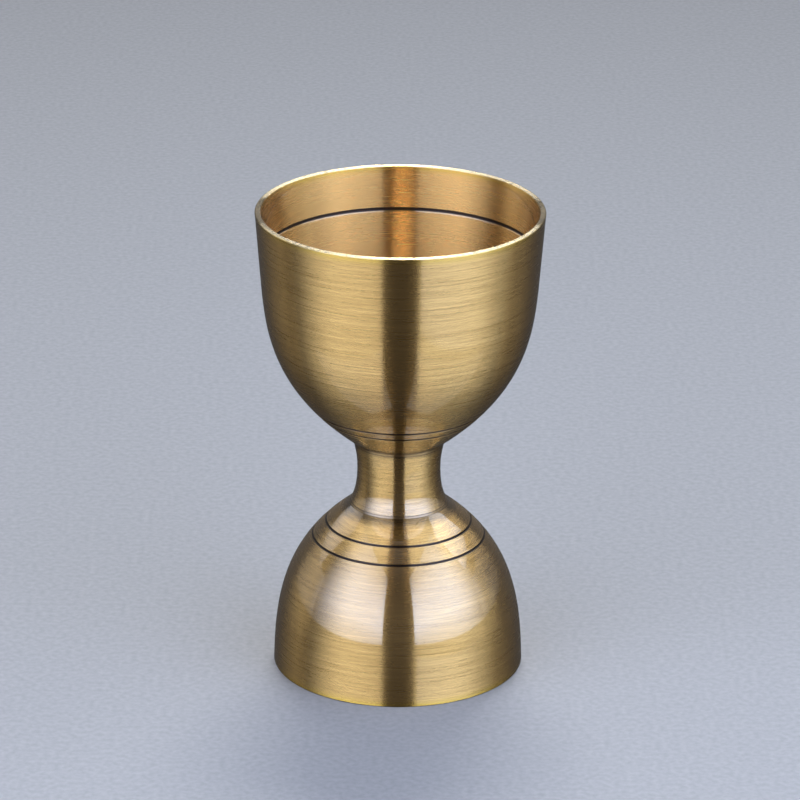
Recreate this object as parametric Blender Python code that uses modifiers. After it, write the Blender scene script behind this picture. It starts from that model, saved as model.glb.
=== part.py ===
"""Double-ended bar jigger: two drawn metal cups, mouth to mouth away from each other,
joined by a solid turned neck and two welded seams.

Frame: origin at the centre of the lower mouth, +Z up through the upper mouth. Metres.
Each cup is drawn in its own frame, with its mouth at z = 0 and its floor below, and is
then placed: the upper cup mouth up, the lower cup turned over so that it is a foot.
"""

from collections import namedtuple
from math import cos, hypot, pi, radians, sin

import bpy
from mathutils import Vector
from mathutils.geometry import interpolate_bezier

MM = 0.001

# ---- driving dimensions -----------------------------------------------------------
HEIGHT = 86.5 * MM            # mouth to mouth
WALL = 1.05 * MM              # sheet thickness of both cups
RIM_ROUND = 0.22 * MM         # the softened edges of each mouth
CLEARANCE = 0.3 * MM          # kept between neighbouring pieces

GROOVE_WIDTH = 0.42 * MM      # turned decoration outside, capacity line inside
GROOVE_DEPTH = 0.20 * MM

# A cup's outer outline, as (radius, depth below the mouth): a straight tapered wall down
# to wall_end, one Bezier curve through the two handles to the shoulder, a short straight
# cone to the seam, and a blend into the flat floor.
Cup = namedtuple("Cup", "mouth wall_end handle_1 handle_2 shoulder seam floor grooves line")

UPPER_CUP = Cup(
    mouth=25.9 * MM,
    wall_end=(24.96 * MM, 11.83 * MM),
    handle_1=(24.13 * MM, 22.27 * MM),
    handle_2=(23.34 * MM, 32.01 * MM),
    shoulder=(8.80 * MM, 43.04 * MM),
    seam=(8.26 * MM, 43.45 * MM),
    floor=44.5 * MM,
    grooves=(36.5 * MM, 38.2 * MM),
    line=8.05 * MM,           # holds 45 ml up to here, of the 60 ml to the brim
)
LOWER_CUP = Cup(
    mouth=22.67 * MM,
    wall_end=(22.65 * MM, 0.8 * MM),
    handle_1=(22.37 * MM, 12.39 * MM),
    handle_2=(20.71 * MM, 21.87 * MM),
    shoulder=(9.86 * MM, 30.16 * MM),
    seam=(8.98 * MM, 30.85 * MM),
    floor=31.95 * MM,
    grooves=(24.65 * MM, 27.30 * MM),
    line=12.4 * MM,           # holds 15 ml up to here, of the 30 ml a little below the brim
)

# The neck's side, as (radius, height): a narrow waist that flares to both seams.
NECK_TOP = (8.24 * MM, HEIGHT - UPPER_CUP.seam[1])
NECK_WAIST = (7.53 * MM, 37.4 * MM)
NECK_FOOT = (8.96 * MM, LOWER_CUP.seam[1])
NECK_TOP_LEAN = radians(10)   # of the side from the vertical, at each end
NECK_FOOT_LEAN = radians(32)
NECK_TOP_PULL = 2.4 * MM      # handle lengths of the two curves
NECK_FOOT_PULL = 2.0 * MM
NECK_WAIST_PULL = 2.6 * MM

# The bevel turned on each end of the neck, which the weld metal fills.
WELD_ROOT = 1.3 * MM          # how far the bevel reaches in from the side
WELD_HEIGHT = 0.8 * MM        # and along it
WELD_FILL = 0.62              # the share of the bevel that the weld metal reaches

ARC_HANDLE = 0.55             # a Bezier handle this far towards the corner makes a round arc

# ---- mesh fineness ------------------------------------------------------------------
TURN_STEPS = 56
BODY_SEGMENTS = 12
FLOOR_SEGMENTS = 3
RIM_SEGMENTS = 2
NECK_SEGMENTS = 5


# ---- outlines: lists of (radius, height) points -------------------------------------
def bezier(start, handle_1, handle_2, end, segments):
    """Points of one cubic Bezier curve, both ends included."""
    knots = [Vector((r, z, 0.0)) for r, z in (start, handle_1, handle_2, end)]
    return [(p.x, p.y) for p in interpolate_bezier(*knots, segments + 1)]


def between(a, b, share):
    return (a[0] + (b[0] - a[0]) * share, a[1] + (b[1] - a[1]) * share)


def parallel(points, distance):
    """The outline moved sideways, towards the axis on a wall that is followed downwards."""
    moved = []
    last = len(points) - 1
    for i, (r, z) in enumerate(points):
        before, after = points[max(i - 1, 0)], points[min(i + 1, last)]
        dr, dz = after[0] - before[0], after[1] - before[1]
        length = hypot(dr, dz)
        moved.append((r + dz / length * distance, z - dr / length * distance))
    return moved


def cut_groove(points, height):
    """Cuts a V groove into an outline where it crosses the given height. The groove goes
    to the right-hand side of the direction in which the points run."""
    crossing = next(i for i in range(len(points) - 1)
                    if (points[i][1] - height) * (points[i + 1][1] - height) <= 0)
    a, b = points[crossing], points[crossing + 1]
    centre = between(a, b, (height - a[1]) / (b[1] - a[1]))
    length = hypot(b[0] - a[0], b[1] - a[1])
    along = ((b[0] - a[0]) / length, (b[1] - a[1]) / length)

    def point(forward, inward):
        return (centre[0] + along[0] * forward + along[1] * inward,
                centre[1] + along[1] * forward - along[0] * inward)

    half = GROOVE_WIDTH / 2
    notch = [point(-half, 0), point(0, GROOVE_DEPTH), point(half, 0)]
    before = [p for p in points[:crossing + 1] if hypot(p[0] - centre[0], p[1] - centre[1]) > half]
    after = [p for p in points[crossing + 1:] if hypot(p[0] - centre[0], p[1] - centre[1]) > half]
    return before + notch + after


def cup_surface(cup):
    """The outer side of a cup without its grooves, from the mouth to the floor's centre."""
    mouth = (cup.mouth, 0.0)
    knots = [(r, -depth) for r, depth in (cup.wall_end, cup.handle_1, cup.handle_2, cup.shoulder)]
    wall = [mouth, between(mouth, knots[0], 0.5)]
    body = bezier(*knots, BODY_SEGMENTS)
    shoulder = knots[-1]
    seam = (cup.seam[0], -cup.seam[1])
    slope = (seam[1] - shoulder[1]) / (seam[0] - shoulder[0])
    corner = (seam[0] + (-cup.floor - seam[1]) / slope, -cup.floor)
    reach = hypot(corner[0] - seam[0], corner[1] - seam[1])
    flat = (corner[0] - reach, -cup.floor)
    blend = bezier(seam, between(seam, corner, ARC_HANDLE), between(flat, corner, ARC_HANDLE),
                   flat, FLOOR_SEGMENTS)
    return wall + body + blend + [(0.0, -cup.floor)]


def inner_surface(cup):
    """The inner side of a cup: its outer side moved in by the wall, floor centre on the axis."""
    inner = parallel(cup_surface(cup), WALL)
    inner[0] = (inner[0][0], 0.0)
    inner[-1] = (0.0, -cup.floor + WALL)
    return inner


def rim(inner_radius, outer_radius):
    """The mouth's edge from inside to outside: a flat land between two rounded corners."""
    quarter = [pi / 2 * k / RIM_SEGMENTS for k in range(RIM_SEGMENTS + 1)]
    inside = [(inner_radius + RIM_ROUND * (1 - cos(a)), -RIM_ROUND * (1 - sin(a))) for a in quarter]
    outside = [(outer_radius - RIM_ROUND * (1 - sin(a)), -RIM_ROUND * (1 - cos(a))) for a in quarter]
    return inside + outside


def cup_outline(cup):
    """The whole wall of a cup: up the inside, over the rim and down the outside."""
    outer = cup_surface(cup)
    inner = inner_surface(cup)
    edge = rim(inner[0][0], outer[0][0])
    for depth in cup.grooves:
        outer = cut_groove(outer, -depth)
    upward = cut_groove(inner[:0:-1], -cup.line)
    return upward + edge + outer[1:]


def neck_side():
    """The neck's side from the upper seam through the waist to the lower seam."""
    top_pull = (NECK_TOP[0] - sin(NECK_TOP_LEAN) * NECK_TOP_PULL,
                NECK_TOP[1] - cos(NECK_TOP_LEAN) * NECK_TOP_PULL)
    foot_pull = (NECK_FOOT[0] - sin(NECK_FOOT_LEAN) * NECK_FOOT_PULL,
                 NECK_FOOT[1] + cos(NECK_FOOT_LEAN) * NECK_FOOT_PULL)
    above = (NECK_WAIST[0], NECK_WAIST[1] + NECK_WAIST_PULL)
    below = (NECK_WAIST[0], NECK_WAIST[1] - NECK_WAIST_PULL)
    upper = bezier(NECK_TOP, top_pull, above, NECK_WAIST, NECK_SEGMENTS)
    lower = bezier(NECK_WAIST, below, foot_pull, NECK_FOOT, NECK_SEGMENTS)
    return upper + lower[1:]


def radius_at(side, height):
    """The radius of an outline that runs downwards, at one height."""
    for a, b in zip(side, side[1:]):
        if a[1] >= height >= b[1]:
            return between(a, b, (a[1] - height) / (a[1] - b[1]))[0]
    raise ValueError("the outline doesn't reach this height")


def cup_height(cup, radius):
    """How far below its mouth a cup's outer side is, at one radius near the floor."""
    surface = cup_surface(cup)
    for a, b in zip(surface[-2::-1], surface[-3::-1]):
        if a[0] <= radius <= b[0]:
            return -between(a, b, (radius - a[0]) / (b[0] - a[0]))[1]
    raise ValueError("the cup has no such radius")


def neck_ends():
    """Heights of the neck's two flat ends, which face the two cup floors."""
    return HEIGHT - UPPER_CUP.floor - CLEARANCE, LOWER_CUP.floor + CLEARANCE


def neck_outline():
    """The turned neck, from the centre of its top end to the centre of its bottom end."""
    side = neck_side()
    top, bottom = neck_ends()
    high, low = top - WELD_HEIGHT, bottom + WELD_HEIGHT
    r_high, r_low = radius_at(side, high), radius_at(side, low)
    middle = [p for p in side if low + CLEARANCE < p[1] < high - CLEARANCE]
    return ([(0.0, top), (r_high - WELD_ROOT, top), (r_high, high)] + middle
            + [(r_low, low), (r_low - WELD_ROOT, bottom), (0.0, bottom)])


def weld_outline(cup, side, end, direction, cup_z):
    """The weld metal between one bevelled end of the neck and the floor of a cup.

    direction is +1 at the top end and -1 at the bottom end, and cup_z gives the height of
    the cup's outer side at a radius. The corners run root, cup, neck, root."""
    bevel_tip = end - direction * WELD_HEIGHT
    tip_radius = radius_at(side, bevel_tip)
    root_radius = tip_radius - WELD_ROOT * WELD_FILL
    root_on_bevel = bevel_tip + direction * WELD_HEIGHT * WELD_FILL
    over_cup = direction * CLEARANCE
    over_bevel = over_cup * hypot(WELD_ROOT, WELD_HEIGHT) / WELD_ROOT
    cup_end = cup_z(cup.seam[0]) - over_cup
    neck_end = bevel_tip + over_bevel
    corners = [(root_radius, cup_z(root_radius) - over_cup),
               (radius_at(side, cup_end), cup_end),
               (radius_at(side, neck_end), neck_end),
               (root_radius, root_on_bevel + over_bevel)]
    return corners if direction > 0 else corners[::-1]


# ---- objects ------------------------------------------------------------------------
def metal(name, colour, roughness):
    """A Principled metal of its own for one piece."""
    material = bpy.data.materials.new(name)
    material.use_nodes = True
    shader = material.node_tree.nodes["Principled BSDF"]
    shader.inputs["Base Color"].default_value = (*colour, 1.0)
    shader.inputs["Metallic"].default_value = 1.0
    shader.inputs["Roughness"].default_value = roughness
    material.diffuse_color = (*colour, 1.0)
    return material


def turned(name, outline, closed, material, collection):
    """An outline at +X, turned round the Z axis by a Screw modifier."""
    points = [(r, 0.0, z) for r, z in outline]
    edges = [(i, i + 1) for i in range(len(points) - 1)]
    if closed:
        edges.append((len(points) - 1, 0))
    mesh = bpy.data.meshes.new(name)
    mesh.from_pydata(points, edges, [])
    piece = bpy.data.objects.new(name, mesh)
    collection.objects.link(piece)
    mesh.materials.append(material)
    screw = piece.modifiers.new("turn", "SCREW")
    screw.axis = "Z"
    screw.steps = TURN_STEPS
    screw.render_steps = TURN_STEPS
    screw.use_merge_vertices = True
    screw.merge_threshold = 0.00001
    screw.use_smooth_shade = True
    return piece


def main():
    for old in list(bpy.data.objects):
        bpy.data.objects.remove(old, do_unlink=True)
    collection = bpy.data.collections.new("bar_jigger")
    bpy.context.scene.collection.children.link(collection)
    centre = bpy.data.objects.new("jigger_axis", None)
    collection.objects.link(centre)

    upper = turned("upper_cup", cup_outline(UPPER_CUP), False,
                   metal("upper_cup", (0.52, 0.38, 0.18), 0.30), collection)
    upper.location.z = HEIGHT

    lower = turned("lower_cup", cup_outline(LOWER_CUP), False,
                   metal("lower_cup", (0.52, 0.38, 0.18), 0.30), collection)
    lower.rotation_euler.x = pi

    neck = turned("neck", neck_outline(), False,
                  metal("neck", (0.50, 0.36, 0.17), 0.32), collection)

    side = neck_side()
    top, bottom = neck_ends()
    upper_seam = weld_outline(UPPER_CUP, side, top, 1, lambda r: HEIGHT - cup_height(UPPER_CUP, r))
    lower_seam = weld_outline(LOWER_CUP, side, bottom, -1, lambda r: cup_height(LOWER_CUP, r))
    upper_weld = turned("upper_weld", upper_seam, True,
                        metal("upper_weld", (0.58, 0.44, 0.24), 0.35), collection)
    lower_weld = turned("lower_weld", lower_seam, True,
                        metal("lower_weld", (0.58, 0.44, 0.24), 0.35), collection)

    for piece in (upper, lower, neck, upper_weld, lower_weld):
        piece.parent = centre


main()
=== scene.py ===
"""The looks of the double-ended bar jigger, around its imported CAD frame.

Each CAD node is replaced by a finer turned mesh of the same outline, with rounded grooves,
rounded rims and flush seams. One procedural metal, antique brass brushed round the axis under
clear lacquer, finishes every piece. Metres, in the frame's own axes: the origin at the centre
of the lower mouth, +Z up.
"""

from collections import namedtuple
from math import cos, hypot, pi, radians, sin, tan

import bpy
import numpy as np
from mathutils import Matrix, Vector
from mathutils.geometry import interpolate_bezier


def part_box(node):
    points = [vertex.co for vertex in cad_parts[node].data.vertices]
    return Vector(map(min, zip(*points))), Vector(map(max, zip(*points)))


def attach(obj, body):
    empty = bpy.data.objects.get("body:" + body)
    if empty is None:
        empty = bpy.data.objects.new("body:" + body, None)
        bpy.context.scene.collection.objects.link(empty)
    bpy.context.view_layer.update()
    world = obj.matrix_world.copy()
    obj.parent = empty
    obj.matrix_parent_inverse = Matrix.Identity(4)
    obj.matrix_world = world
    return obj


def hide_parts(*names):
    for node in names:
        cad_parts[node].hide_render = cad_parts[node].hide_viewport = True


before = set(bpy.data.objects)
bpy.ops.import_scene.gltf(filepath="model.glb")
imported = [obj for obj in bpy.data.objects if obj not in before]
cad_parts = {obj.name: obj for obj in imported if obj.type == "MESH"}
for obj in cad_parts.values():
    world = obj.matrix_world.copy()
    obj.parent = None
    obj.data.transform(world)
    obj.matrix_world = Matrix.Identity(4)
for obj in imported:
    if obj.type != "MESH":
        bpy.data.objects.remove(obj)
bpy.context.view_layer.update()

MM = 0.001

# ---- the object's dimensions, as the CAD has them --------------------------------------------
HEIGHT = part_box("upper_cup")[1].z
WALL = 1.05 * MM
RIM_ROUND = 0.24 * MM

# A cup's outer outline, as (radius, depth below the mouth). grooves are the depths of the two
# turned grooves outside, half is half their width, and line is the depth of the fill line inside
Cup = namedtuple("Cup", "mouth wall_end handle_1 handle_2 shoulder seam floor grooves half line")

UPPER_CUP = Cup(
    mouth=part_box("upper_cup")[1].x,
    wall_end=(24.96 * MM, 11.83 * MM),
    handle_1=(24.13 * MM, 22.27 * MM),
    handle_2=(23.34 * MM, 32.01 * MM),
    shoulder=(8.80 * MM, 43.04 * MM),
    seam=(8.26 * MM, 43.45 * MM),
    floor=44.5 * MM,
    grooves=(36.5 * MM, 38.2 * MM),
    half=0.32 * MM,
    line=8.05 * MM,
)
LOWER_CUP = Cup(
    mouth=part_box("lower_cup")[1].x,
    wall_end=(22.65 * MM, 0.8 * MM),
    handle_1=(22.37 * MM, 12.39 * MM),
    handle_2=(20.71 * MM, 21.87 * MM),
    shoulder=(9.86 * MM, 30.16 * MM),
    seam=(8.98 * MM, 30.85 * MM),
    floor=31.95 * MM,
    grooves=(24.65 * MM, 27.30 * MM),
    half=0.21 * MM,
    line=12.4 * MM,
)

# The neck's side, as (radius, height)
NECK_TOP = (8.24 * MM, HEIGHT - UPPER_CUP.seam[1])
NECK_WAIST = (7.53 * MM, 37.4 * MM)
NECK_FOOT = (8.96 * MM, LOWER_CUP.seam[1])
NECK_TOP_LEAN = radians(10)
NECK_FOOT_LEAN = radians(32)
NECK_TOP_PULL = 2.4 * MM
NECK_FOOT_PULL = 2.0 * MM
NECK_WAIST_PULL = 2.6 * MM
ARC_HANDLE = 0.55              # a Bezier handle this far towards the corner makes a round arc

WELD_FACE = 0.5 * MM           # the visible face of each seam's weld metal
WELD_ROOT = 1.2 * MM           # how far it reaches in
SEAM_GAP = 0.02 * MM           # the hairline left beside it

LINE_HALF = 0.31 * MM          # half the width of the fill line inside a cup
GROOVE_DEPTH = 0.17 * MM       # of the grooves and the fill lines
GROOVE_LIP = 0.012 * MM        # the height of the lip thrown up beside a groove
LIP_PLACE = 1.35               # in half-widths from the groove's middle
LIP_WIDTH = 0.28
GROOVE_REACH = 2.2             # rows are close together this many half-widths from the middle
WEAR_REACH = 0.8 * MM          # how far below a mouth the plating is rubbed bright
PATINA_AND_SHADE_REACH = 1.5 * MM        # how far the dark patina and painted shade spread up a cup from its seam
NECK_PATINA_AND_SHADE = 1.1 * MM         # and how far down the neck from the upper weld

# ---- mesh fineness ---------------------------------------------------------------------------
TURN_STEPS = 288
CURVE_SEGMENTS = 90
BLEND_SEGMENTS = 16
NECK_SEGMENTS = 30
WALL_STEP = 0.75 * MM
FINE_STEP = 0.035 * MM
NECK_ROWS = 60
WELD_ROWS = 8
ROUND_STEPS = 6
LAND_STEPS = 4
SMOOTH_BELOW = radians(35)     # edges sharper than this are drawn sharp


# ---- outlines: paths in the (radius, height) plane -------------------------------------------
def bezier(start, handle_1, handle_2, end, segments):
    """Points of one cubic Bezier curve, both ends included."""
    knots = [Vector((r, z, 0.0)) for r, z in (start, handle_1, handle_2, end)]
    return [(p.x, p.y) for p in interpolate_bezier(*knots, segments + 1)]


def between(a, b, share):
    return (a[0] + (b[0] - a[0]) * share, a[1] + (b[1] - a[1]) * share)


class Path:
    """A smooth path through points, measured by its length from the start."""

    def __init__(self, points):
        points = np.array(points, float)
        steps = np.hypot(*np.diff(points, axis=0).T)
        self.points = points[np.r_[True, steps > 1e-7]]
        self.along = np.r_[0.0, np.cumsum(np.hypot(*np.diff(self.points, axis=0).T))]
        self.length = self.along[-1]

    def at(self, s):
        return np.c_[np.interp(s, self.along, self.points[:, 0]),
                     np.interp(s, self.along, self.points[:, 1])]

    def right(self, s):
        """Unit normals on the right-hand side of the path."""
        step = 0.1 * MM
        d = self.at(np.minimum(s + step, self.length)) - self.at(np.maximum(s - step, 0.0))
        d /= np.hypot(*d.T)[:, None]
        return np.c_[d[:, 1], -d[:, 0]]

    def length_at_height(self, height):
        """The length at which the path first crosses a height."""
        z = self.points[:, 1] - height
        i = int(np.nonzero(z[:-1] * z[1:] <= 0)[0][0])
        share = z[i] / (z[i] - z[i + 1])
        return self.along[i] + share * (self.along[i + 1] - self.along[i])


def cup_surface(cup):
    """The outer side of a cup without its grooves, from the mouth down to the floor's centre."""
    mouth = (cup.mouth, 0.0)
    knots = [(r, -depth) for r, depth in (cup.wall_end, cup.handle_1, cup.handle_2, cup.shoulder)]
    body = bezier(*knots, CURVE_SEGMENTS)
    shoulder = knots[-1]
    seam = (cup.seam[0], -cup.seam[1])
    slope = (seam[1] - shoulder[1]) / (seam[0] - shoulder[0])
    corner = (seam[0] + (-cup.floor - seam[1]) / slope, -cup.floor)
    reach = hypot(corner[0] - seam[0], corner[1] - seam[1])
    flat = (corner[0] - reach, -cup.floor)
    blend = bezier(seam, between(seam, corner, ARC_HANDLE), between(flat, corner, ARC_HANDLE),
                   flat, BLEND_SEGMENTS)
    return Path([mouth] + body + blend + [(0.0, -cup.floor)])


def cup_inside(outer, cup):
    """The inner side of a cup, one wall in from its outer side."""
    s = np.linspace(0, outer.length, 4 * CURVE_SEGMENTS)
    points = outer.at(s) + outer.right(s) * WALL
    points = points[(points[:, 1] < 0) & (points[:, 0] > 0)]
    return Path(np.vstack([[points[0, 0], 0.0], points, [0.0, -cup.floor + WALL]]))


def neck_side():
    """The neck's side from the upper seam through the waist to the lower seam."""
    top_pull = (NECK_TOP[0] - sin(NECK_TOP_LEAN) * NECK_TOP_PULL,
                NECK_TOP[1] - cos(NECK_TOP_LEAN) * NECK_TOP_PULL)
    foot_pull = (NECK_FOOT[0] - sin(NECK_FOOT_LEAN) * NECK_FOOT_PULL,
                 NECK_FOOT[1] + cos(NECK_FOOT_LEAN) * NECK_FOOT_PULL)
    above = (NECK_WAIST[0], NECK_WAIST[1] + NECK_WAIST_PULL)
    below = (NECK_WAIST[0], NECK_WAIST[1] - NECK_WAIST_PULL)
    upper = bezier(NECK_TOP, top_pull, above, NECK_WAIST, NECK_SEGMENTS)
    lower = bezier(NECK_WAIST, below, foot_pull, NECK_FOOT, NECK_SEGMENTS)
    return Path(upper + lower[1:])


# ---- rows: an outline's points with what the material needs to know at each ------------------
Row = namedtuple("Row", "r z arc groove rim wear patina inside")


def channel_depth(t):
    """How far a groove goes in, t half-widths from its middle: a round channel with lips."""
    channel = np.sqrt(np.clip(1 - t * t, 0, 1)) * GROOVE_DEPTH
    lip = np.exp(-((abs(t) - LIP_PLACE) / LIP_WIDTH) ** 2) * GROOVE_LIP
    return channel - lip


def line_depth(t):
    """How far the fill line goes in: square above, sloping out below."""
    return np.interp(t, (-1.0, -0.9, 0.5, 1.7), (0.0, 1.0, 1.0, 0.0)) * GROOVE_DEPTH


def wall_rows(path, grooves, half, shape, seam):
    """Rows down one side of a cup's wall, with grooves of a shape cut in at their depths. half
    is half a groove's width, negative where the metal is on the path's left-hand side, and seam
    is the depth of the seam outside, or None inside."""
    marks = [path.length_at_height(-depth) for depth in grooves]
    even = np.linspace(0, path.length, int(path.length / WALL_STEP))
    reach = GROOVE_REACH * abs(half)
    far = [s for s in even if all(abs(s - m) > reach + FINE_STEP for m in marks)]
    near = [np.arange(m - reach, m + reach, FINE_STEP) for m in marks]
    s = np.unique(np.concatenate([far] + near))
    depth, dark = np.zeros_like(s), np.zeros_like(s)
    for m in marks:
        t = (s - m) / abs(half)
        depth += shape(t)
        dark = np.maximum(dark, np.interp(t, (-1.25, -1.0, 0.85, 1.2), (0.0, 1.0, 1.0, 0.0)))
    points = path.at(s) + path.right(s) * (depth * np.sign(half))[:, None]
    wear = np.exp(-(s / WEAR_REACH) ** 2)
    # dark patina and painted shade up a cup from its seam
    patina = np.zeros_like(s)
    if seam:
        patina = np.clip(1.5 - (path.length_at_height(-seam) - s) / PATINA_AND_SHADE_REACH, 0, 1)
    return [Row(max(r, 0.0), z, a, g, 0.0, w, d, float(seam is None))
            for (r, z), a, g, w, d in zip(points, s, dark, wear, patina) if a > 1.05 * RIM_ROUND]


def rim_rows(inner_radius, outer_radius):
    """Rows over the mouth's edge, from inside to outside: a land between two round corners."""
    turn = [pi / 2 * k / ROUND_STEPS for k in range(ROUND_STEPS + 1)]
    rows = [Row(inner_radius + RIM_ROUND * (1 - cos(a)), RIM_ROUND * (sin(a) - 1),
                RIM_ROUND * (1 - sin(a)), 0.0, sin(a), 1.0, 0.0, 0.0) for a in turn]
    width = outer_radius - inner_radius - 2 * RIM_ROUND
    rows += [Row(inner_radius + RIM_ROUND + width * k / LAND_STEPS, 0.0, width * k / LAND_STEPS,
                 0.0, 1.0, 1.0, 0.0, 0.0) for k in range(1, LAND_STEPS)]
    rows += [Row(outer_radius - RIM_ROUND * (1 - sin(a)), RIM_ROUND * (cos(a) - 1),
                 RIM_ROUND * (1 - cos(a)), 0.0, cos(a), 1.0, 0.0, 0.0) for a in turn]
    return rows


def cup_rows(cup):
    """The whole wall of a cup: up the inside, over the rim and down the outside."""
    outer = cup_surface(cup)
    inner = cup_inside(outer, cup)
    inside = wall_rows(inner, [cup.line], -LINE_HALF, line_depth, None)
    outside = wall_rows(outer, cup.grooves, cup.half, channel_depth, cup.seam[1])
    return inside[::-1] + rim_rows(inner.points[0, 0], cup.mouth) + outside


def plain_row(point, arc):
    return Row(point[0], point[1], arc, 0.0, 0.0, 0.0, 0.0, 0.0)


def neck_rows(side):
    """The neck from the centre of its top end, down its side, to the centre of its foot."""
    s = np.linspace(WELD_FACE + SEAM_GAP, side.length - WELD_FACE - SEAM_GAP, NECK_ROWS)
    points = side.at(s)
    top = HEIGHT - UPPER_CUP.floor - SEAM_GAP
    foot = LOWER_CUP.floor + SEAM_GAP
    rows = [plain_row((0.0, top), 0.0), plain_row((points[0, 0] - WELD_ROOT, top), 0.0)]
    # dark patina and painted shade on the neck by its welds, most below the upper cup
    patina = np.clip(1.15 - s / NECK_PATINA_AND_SHADE, 0, 1)
    patina += np.clip(0.5 - (side.length - s) / NECK_PATINA_AND_SHADE, 0, 1)
    rows += [plain_row(p, a)._replace(patina=d) for p, a, d in zip(points, s, patina)]
    rows += [plain_row((points[-1, 0] - WELD_ROOT, foot), side.length),
             plain_row((0.0, foot), side.length)]
    return rows


def weld_rows(side, upper):
    """The weld metal at one end of the neck: its face flush with the neck's side, and its root
    in the wedge between the neck's bevel and the cup's floor."""
    if upper:
        start, end, cup_z = 0.0, WELD_FACE, HEIGHT - UPPER_CUP.floor
    else:
        start, end, cup_z = side.length - WELD_FACE, side.length, LOWER_CUP.floor
    s = np.linspace(start, end, WELD_ROWS)
    face = side.at(s)
    crease = abs(np.linspace(-1.0, 1.0, len(s))) ** 2
    # the weld face carries dark patina and painted shade, with dark creases at its edges
    rows = [plain_row(p, a)._replace(groove=c, patina=0.55) for p, a, c in zip(face, s, crease)]
    root_r = face[:, 0].min() - WELD_ROOT * 0.8
    middle = (face[0] + face[-1]) / 2
    root_z = cup_z + (middle[1] - cup_z) * 0.35
    rows.append(plain_row((root_r, root_z), 0.0))
    return rows


# ---- meshes ----------------------------------------------------------------------------------
def turned(name, rows, height, flip, closed, material):
    """Rows turned round Z into a mesh. flip turns the outline over, mouth down; closed joins
    the last row to the first."""
    rows = [row._replace(z=-row.z if flip else row.z + height) for row in rows]
    if flip:
        rows = rows[::-1]
    vertices, faces, source, rings = [], [], [], []
    for i, row in enumerate(rows):
        count = 1 if row.r < 1e-7 else TURN_STEPS
        rings.append(range(len(vertices), len(vertices) + count))
        for k in range(count):
            angle = 2 * pi * k / TURN_STEPS
            vertices.append((row.r * cos(angle), row.r * sin(angle), row.z))
            source.append(i)
    pairs = list(zip(rings, rings[1:]))
    if closed:
        pairs.append((rings[-1], rings[0]))
    for a, b in pairs:
        for k in range(TURN_STEPS):
            j = (k + 1) % TURN_STEPS
            if len(a) == 1:
                faces.append((a[0], b[k], b[j]))
            elif len(b) == 1:
                faces.append((a[k], b[0], a[j]))
            else:
                faces.append((a[k], b[k], b[j], a[j]))
    mesh = bpy.data.meshes.new(name)
    mesh.from_pydata(vertices, [], faces)
    mesh.validate()
    mesh.shade_smooth()
    mesh.set_sharp_from_angle(angle=SMOOTH_BELOW)
    for field in ("arc", "groove", "rim", "wear", "patina", "inside"):
        values = [getattr(rows[i], field) for i in source]
        mesh.attributes.new(field, "FLOAT", "POINT").data.foreach_set("value", values)
    mesh.materials.append(material)
    piece = bpy.data.objects.new(name, mesh)
    bpy.context.scene.collection.objects.link(piece)
    return piece


# ---- the metal -------------------------------------------------------------------------------
FAN = 0.54                     # the slope of the brush lines' flanks
FAN_SHARE = 0.75               # of the light that the flanks reflect
TIPS = (0.10, 0.13, 0.07)      # how far the hair, fine and medium lines tip the metal
RIM_TIP = 2.4                  # how far the rim's turning marks tip the metal
RIM_COAT_TIP = 4.0             # and the lacquer over it

# the colours: brush lines as factors of the metal's tone, the rest as they are
DARK_LINES = (0.77, 0.74, 0.69)
PALE_LINES = (1.16, 1.18, 1.24)
# painted light: the inside of the cups painted paler to brighten it
INSIDE_PAINTED_LIGHT = (1.14, 1.11, 1.20)
WORN = (0.60, 0.40, 0.065, 1.0)
RIM = (0.80, 0.62, 0.30, 1.0)
RIM_FLECKS = (0.10, 0.07, 0.03, 1.0)
# dark patina at the seams, with painted shade under the upper cup
PATINA_AND_SHADE = (0.085, 0.055, 0.028, 1.0)
GROOVE = (0.045, 0.032, 0.027, 1.0)


class Tree:
    """Short calls for building a node tree."""

    def __init__(self, tree):
        self.tree = tree

    def node(self, kind, outputs=0, settings=None, **inputs):
        made = self.tree.nodes.new(kind)
        for key, value in (settings or {}).items():
            setattr(made, key, value)
        for key, value in inputs.items():
            socket = made.inputs[int(key[1:]) if key[1:].isdigit() else key.replace("_", " ")]
            if isinstance(value, bpy.types.NodeSocket):
                self.tree.links.new(value, socket)
            else:
                socket.default_value = value
        return made.outputs[outputs]

    def math(self, operation, a, b=0.0, clamp=False):
        return self.node("ShaderNodeMath", settings={"operation": operation, "use_clamp": clamp},
                         i0=a, i1=b)

    def vector(self, operation, a, b=(0.0, 0.0, 0.0)):
        return self.node("ShaderNodeVectorMath", settings={"operation": operation}, i0=a, i1=b)

    def scale(self, a, factor):
        return self.node("ShaderNodeVectorMath", settings={"operation": "SCALE"},
                         i0=a, Scale=factor)

    def mix(self, share, a, b):
        """A colour mix: a where share is 0, b where it is 1."""
        made = self.tree.nodes.new("ShaderNodeMix")
        made.data_type = "RGBA"
        for socket, value in ((made.inputs[0], share), (made.inputs[6], a), (made.inputs[7], b)):
            if isinstance(value, bpy.types.NodeSocket):
                self.tree.links.new(value, socket)
            else:
                socket.default_value = value
        return made.outputs[2]

    def remap(self, value, low, high, to_low=0.0, to_high=1.0):
        return self.node("ShaderNodeMapRange", settings={"clamp": True}, i0=value, i1=low, i2=high,
                         i3=to_low, i4=to_high)

    def attribute(self, name):
        return self.node("ShaderNodeAttribute", 2, {"attribute_name": name})


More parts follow.
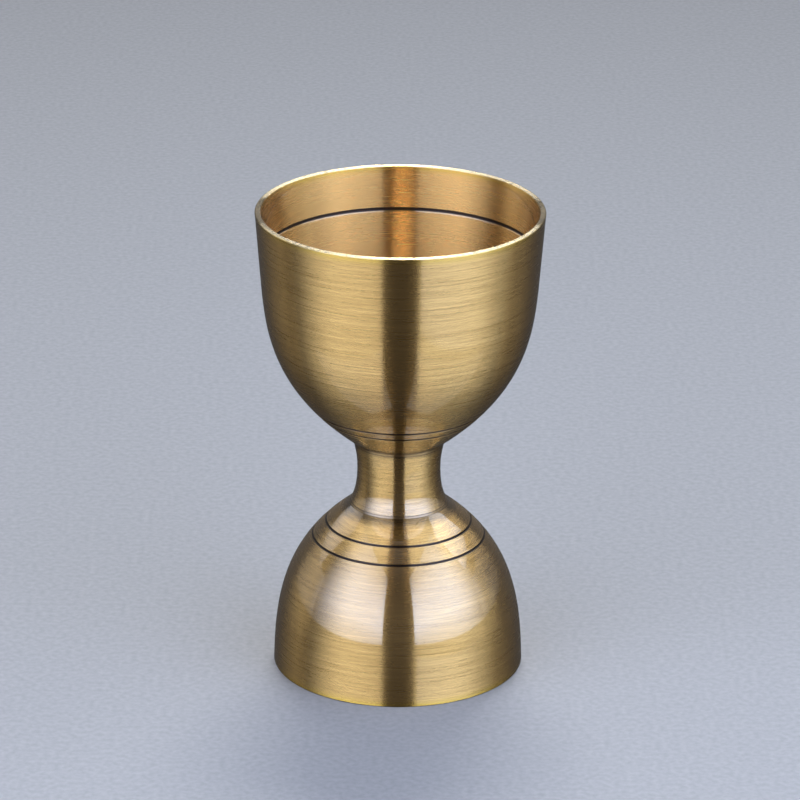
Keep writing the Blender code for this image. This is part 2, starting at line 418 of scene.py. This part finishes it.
def brushed_brass(name, tone):
    """Antique brass plating of the colour tone, brushed round the axis, under clear lacquer."""
    material = bpy.data.materials.new(name)
    material.use_nodes = True
    t = Tree(material.node_tree)
    shader = material.node_tree.nodes["Principled BSDF"]

    # where a point is: a unit vector round the axis, and the length along the outline
    spot = t.node("ShaderNodeTexCoord", 3)
    around = t.vector("NORMALIZE", t.vector("MULTIPLY", spot, (1.0, 1.0, 0.0)))
    split = material.node_tree.nodes.new("ShaderNodeSeparateXYZ")
    material.node_tree.links.new(around, split.inputs[0])
    arc = t.attribute("arc")

    def streaks(turns, per_metre, tilt, detail, seed):
        """Noise drawn out round the axis: turns is its detail round the axis in cells a radian,
        per_metre its detail across, and tilt how far a line wanders along the outline."""
        lean = t.math("MULTIPLY", split.outputs[0 if seed % 2 else 1], tilt)
        across = t.math("MULTIPLY", t.math("ADD", arc, lean), per_metre)
        x = t.math("ADD", t.math("MULTIPLY", split.outputs[0], turns), seed * 7.31)
        y = t.math("MULTIPLY", split.outputs[1], turns)
        where = t.node("ShaderNodeCombineXYZ", i0=x, i1=y, i2=across)
        return t.node("ShaderNodeTexNoise", Vector=where, Scale=1.0, Detail=detail, Roughness=0.6)

    def tinted(factors):
        return [c * k for c, k in zip(tone, factors)] + [1.0]

    hair = streaks(16.0, 6000.0, 0.0002, 1.0, 1)
    fine = streaks(3.0, 3400.0, 0.0001, 2.0, 2)
    medium = streaks(0.8, 2500.0, 0.0, 2.0, 3)
    broad = streaks(0.9, 330.0, 0.0, 2.0, 4)
    cloud = t.node("ShaderNodeTexNoise", Vector=spot, Scale=110.0, Detail=3.0, Roughness=0.55)

    # colour: old gold with darker and paler brush lines, painted light that makes the metal paler
    # inside
    #  the cups, dark patina in the grooves, dark patina with painted shade at the seams, and
    #  rubbed yellow metal by the rims
    dark = tinted(DARK_LINES)
    lines = t.math("ADD", t.math("MULTIPLY", medium, 0.45), t.math("MULTIPLY", fine, 0.35))
    lines = t.math("ADD", lines, t.math("MULTIPLY", hair, 0.2))
    colour = t.mix(t.remap(lines, 0.36, 0.5), dark, list(tone) + [1.0])
    colour = t.mix(t.remap(lines, 0.5, 0.64), colour, tinted(PALE_LINES))
    tint = t.math("ADD", t.math("MULTIPLY", broad, 0.6), t.math("MULTIPLY", cloud, 0.4))
    colour = t.mix(t.remap(tint, 0.34, 0.52, 0.28, 0.0), colour, dark)
    # painted light: the cups' insides painted paler, a little less on the paler brush lines
    inside = t.math("MULTIPLY", t.attribute("inside"), t.remap(lines, 0.40, 0.6, 1.0, 0.7))
    colour = t.mix(inside, colour, tinted(INSIDE_PAINTED_LIGHT))
    worn = t.math("MULTIPLY", t.attribute("wear"), t.remap(fine, 0.30, 0.60, 0.5, 1.0))
    colour = t.mix(worn, colour, WORN)
    rim = t.attribute("rim")
    colour = t.mix(rim, colour, RIM)
    turning = t.math("MULTIPLY", t.math("SUBTRACT", streaks(60.0, 5500.0, 0.0, 2.0, 5), 0.5), rim)
    colour = t.mix(t.remap(turning, 0.01, 0.11, 0.0, 0.85), colour, RIM_FLECKS)
    # dark patina at the seams, partly painted shade under the upper cup
    seam_patina_and_shade = t.math("MULTIPLY", t.attribute("patina"), t.remap(lines, 0.36, 0.64, 0.95, 0.6))
    colour = t.mix(seam_patina_and_shade, colour, PATINA_AND_SHADE)
    groove = t.attribute("groove")
    colour = t.mix(groove, colour, GROOVE)

    # paler lines are smoother, grooves rougher and bare of lacquer, and the rim is polished
    rough = t.remap(lines, 0.3, 0.7, 0.285, 0.25)
    rough = t.math("ADD", rough, t.math("MULTIPLY", groove, 0.25))
    rough = t.math("SUBTRACT", rough, t.math("MULTIPLY", rim, 0.10))
    lacquer = t.math("SUBTRACT", 1.0, t.math("MULTIPLY", groove, 0.85))

    # The brush lines' flanks face up and down along the outline, which spreads each reflection
    # into a tall fan across them. Three lobes make the fan, and the lines tip all of them.
    normal = t.node("ShaderNodeNewGeometry", 1)
    tangent = t.node("ShaderNodeTangent", settings={"direction_type": "RADIAL", "axis": "Z"})
    up = t.vector("CROSS_PRODUCT", normal, tangent)
    tip = t.math("MULTIPLY", turning, RIM_TIP)
    for noise, reach in zip((hair, fine, medium), TIPS):
        tip = t.math("ADD", tip, t.math("MULTIPLY", t.math("SUBTRACT", noise, 0.5), reach))
    flank = t.math("SUBTRACT", 1.0, t.math("MULTIPLY", rim, 0.35))
    coat_tip = t.scale(up, t.math("MULTIPLY", turning, RIM_COAT_TIP))
    coat = t.vector("NORMALIZE", t.vector("ADD", normal, coat_tip))
    lobes = []
    for side in (0.0, FAN, -FAN):
        lobe = material.node_tree.nodes.new("ShaderNodeBsdfPrincipled") if side else shader
        lean = t.math("MULTIPLY", t.math("ADD", tip, side), flank)
        tipped = t.vector("NORMALIZE", t.vector("ADD", normal, t.scale(up, lean)))
        for socket, value in (("Base Color", colour), ("Roughness", rough), ("Normal", tipped),
                              ("Coat Weight", lacquer), ("Coat Normal", coat),
                              ("Tangent", tangent)):
            material.node_tree.links.new(value, lobe.inputs[socket])
        for socket, value in (("Metallic", 1.0), ("Anisotropic", 1.0),
                              ("Anisotropic Rotation", 0.25), ("Coat Roughness", 0.05),
                              ("Coat IOR", 1.75)):
            lobe.inputs[socket].default_value = value
        lobes.append(lobe.outputs[0])
    flanks = t.node("ShaderNodeMixShader", i0=0.5, i1=lobes[1], i2=lobes[2])
    surface = t.node("ShaderNodeMixShader", i0=FAN_SHARE, i1=lobes[0], i2=flanks)
    output = material.node_tree.nodes["Material Output"]
    material.node_tree.links.new(surface, output.inputs["Surface"])
    return material


# ---- the pieces ------------------------------------------------------------------------------
BRASS = (0.53, 0.335, 0.112)
NECK_BRASS = (0.46, 0.292, 0.098)
WELD_BRASS = (0.52, 0.34, 0.13)


def build_jigger():
    side = neck_side()
    cup_metal = brushed_brass("cup_brass", BRASS)
    neck_metal = brushed_brass("neck_brass", NECK_BRASS)
    weld_metal = brushed_brass("weld_brass", WELD_BRASS)
    # the piece, the CAD node that it replaces, its rows, height, flip, closed and material
    pieces = (
        ("upper_cup_wall", "upper_cup", cup_rows(UPPER_CUP), HEIGHT, False, False, cup_metal),
        ("lower_cup_wall", "lower_cup", cup_rows(LOWER_CUP), 0.0, True, False, cup_metal),
        ("neck_spool", "neck", neck_rows(side), 0.0, False, False, neck_metal),
        ("upper_weld_seam", "upper_weld", weld_rows(side, True), 0.0, False, True, weld_metal),
        ("lower_weld_seam", "lower_weld", weld_rows(side, False), 0.0, False, True, weld_metal),
    )
    for name, node, *shape in pieces:
        piece = turned(name, *shape)
        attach(piece, "root")
        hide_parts(node)


# ---- the studio ------------------------------------------------------------------------------
FLOOR_SIZE = 12.0
FLOOR_DARK = (0.205, 0.207, 0.212, 1.0)
FLOOR_PALE = (0.250, 0.252, 0.257, 1.0)
WORLD_COLOUR = (1.0, 0.97, 0.98, 1.0)


def build_floor():
    """A plain pale floor. The metal doesn't mirror it and it casts no shadow, so that the low
    cards beneath it can stand in for the light that a table throws up."""
    mesh = bpy.data.meshes.new("floor")
    h = FLOOR_SIZE / 2
    mesh.from_pydata([(-h, -h, 0), (h, -h, 0), (h, h, 0), (-h, h, 0)], [], [(0, 1, 2, 3)])
    floor = bpy.data.objects.new("floor", mesh)
    bpy.context.scene.collection.objects.link(floor)
    material = bpy.data.materials.new("floor")
    material.use_nodes = True
    t = Tree(material.node_tree)
    shader = material.node_tree.nodes["Principled BSDF"]
    where = t.node("ShaderNodeTexCoord", 3)
    grain = t.node("ShaderNodeTexNoise", 0, Vector=where, Scale=900.0, Detail=3.0)
    colour = t.mix(t.remap(grain, 0.3, 0.7), FLOOR_DARK, FLOOR_PALE)
    material.node_tree.links.new(colour, shader.inputs["Base Color"])
    shader.inputs["Roughness"].default_value = 0.8
    mesh.materials.append(material)
    floor.visible_glossy = False
    floor.visible_shadow = False


def softbox(name, azimuth, width, low, high, distance, strength, top, colour, fade):
    """An upright softbox. azimuth is its middle seen from the jigger, in degrees from the
    camera's side towards +X; width is in degrees, low and high are heights in metres, and
    strength is its radiance, which changes to top times that by its top and is dimmer at its
    foot. fade is where across it, from 0 at its left end to 1, it starts and stops coming up
    from nothing."""
    light = bpy.data.lights.new(name, "AREA")
    light.shape = "RECTANGLE"
    light.size = 2 * distance * tan(radians(width / 2))
    light.size_y = high - low
    light.energy = strength * light.size * light.size_y * pi
    light.color = colour
    light.use_nodes = True
    t = Tree(light.node_tree)
    emission = light.node_tree.nodes["Emission"]
    split = light.node_tree.nodes.new("ShaderNodeSeparateXYZ")
    light.node_tree.links.new(t.node("ShaderNodeNewGeometry", 5), split.inputs[0])
    power = t.node("ShaderNodeMapRange", settings={"interpolation_type": "SMOOTHSTEP"},
                   i0=split.outputs[1], i1=0.25, i2=1.0, i3=1.0, i4=top)
    foot = t.remap(split.outputs[1], 0.0, 0.16, 0.45, 1.0)
    power = t.math("MULTIPLY", power, foot)
    if fade:
        across = t.node("ShaderNodeMapRange", settings={"interpolation_type": "SMOOTHSTEP"},
                        i0=split.outputs[0], i1=fade[0], i2=fade[1], i3=0.0, i4=1.0)
        power = t.math("MULTIPLY", power, across)
    light.node_tree.links.new(power, emission.inputs["Strength"])
    box = bpy.data.objects.new(name, light)
    a = radians(azimuth)
    box.location = (distance * sin(a), -distance * cos(a), (low + high) / 2)
    facing = Vector((-sin(a), cos(a), 0.0))
    box.rotation_euler = facing.to_track_quat("-Z", "Y").to_euler()
    box.visible_camera = False
    bpy.context.scene.collection.objects.link(box)


# name, azimuth, width, low, high, distance, strength, top, colour, fade
LIGHTS = (
    ("left_softbox", -68.2, 108, -0.01, 0.95, 0.55, 4.25, 0.3, (0.93, 1.05, 1.38), (0.28, 0.62)),
    ("right_softbox", 69.5, 108, -0.01, 0.95, 0.55, 4.35, 0.3, (0.91, 1.06, 1.45), (0.73, 0.43)),
    ("left_edge_card", -115, 50, -0.01, 0.25, 0.6, 0.6, 1.0, (1.0, 1.0, 1.0), (0.0, 0.9)),
    ("right_edge_card", 115, 50, -0.01, 0.25, 0.6, 0.6, 1.0, (1.0, 1.0, 1.0), (1.0, 0.1)),
    ("left_high_card", -126, 40, 0.24, 0.7, 0.6, 1.2, 0.6, (0.95, 1.0, 1.1), None),
    ("right_high_card", 109, 38, 0.34, 0.9, 0.6, 2.5, 0.9, (0.9, 1.02, 1.25), None),
    ("left_floor_card", -48, 66, -2.4, -0.36, 0.55, 0.5, 0.5, (1.0, 0.97, 0.9), None),
    ("right_floor_card", 48, 66, -2.4, -0.36, 0.55, 0.5, 0.5, (1.0, 0.97, 0.9), None),
    ("right_low_card", 52, 70, -0.30, -0.08, 0.55, 0.35, 1.0, (0.65, 1.0, 1.5), (1.0, 0.25)),
    ("back_low_card", 178, 34, 0.05, 0.38, 0.8, 0.2, 1.0, (1.0, 1.0, 1.0), None),
    ("back_softbox", 175, 40, 0.46, 2.2, 0.8, 6.0, 6.0, (1.0, 1.02, 1.04), None),
)


def build_lights():
    for light in LIGHTS:
        softbox(*light)
    world = bpy.data.worlds.new("studio")
    world.use_nodes = True
    bpy.context.scene.world = world
    background = world.node_tree.nodes["Background"]
    background.inputs["Color"].default_value = WORLD_COLOUR
    # dim below the horizon, brighter overhead
    t = Tree(world.node_tree)
    split = world.node_tree.nodes.new("ShaderNodeSeparateXYZ")
    world.node_tree.links.new(t.node("ShaderNodeTexCoord", 0), split.inputs[0])
    level = t.math("ADD", t.remap(split.outputs[2], -0.5, 0.15, 0.05, 0.14),
                   t.remap(split.outputs[2], 0.66, 0.92, 0.0, 0.2))
    world.node_tree.links.new(level, background.inputs["Strength"])


# ---- the camera: in front, looking down on the jigger, with a long lens ----------------------
CAMERA_DISTANCE = 0.8501       # from the axis, along the floor
CAMERA_HEIGHT = 0.3803
CAMERA_SIDE = 0.00013
CAMERA_PITCH = 21.209          # degrees below the horizontal
CAMERA_ROLL = 0.36             # degrees, which leans the jigger's top to the right
CAMERA_LENS = 227.9            # mm, on a 36 mm sensor


def build_camera():
    data = bpy.data.cameras.new("camera")
    data.lens = CAMERA_LENS
    data.sensor_width = 36.0
    camera = bpy.data.objects.new("camera", data)
    pitch = Matrix.Rotation(radians(90 - CAMERA_PITCH), 4, "X")
    roll = Matrix.Rotation(radians(CAMERA_ROLL), 4, "Z")
    spot = Matrix.Translation((CAMERA_SIDE, -CAMERA_DISTANCE, CAMERA_HEIGHT))
    camera.matrix_world = spot @ pitch @ roll
    bpy.context.scene.collection.objects.link(camera)
    bpy.context.scene.camera = camera


build_jigger()
build_floor()
build_lights()
build_camera()
bpy.context.scene.view_settings.view_transform = "Standard"

bpy.context.view_layer.update()
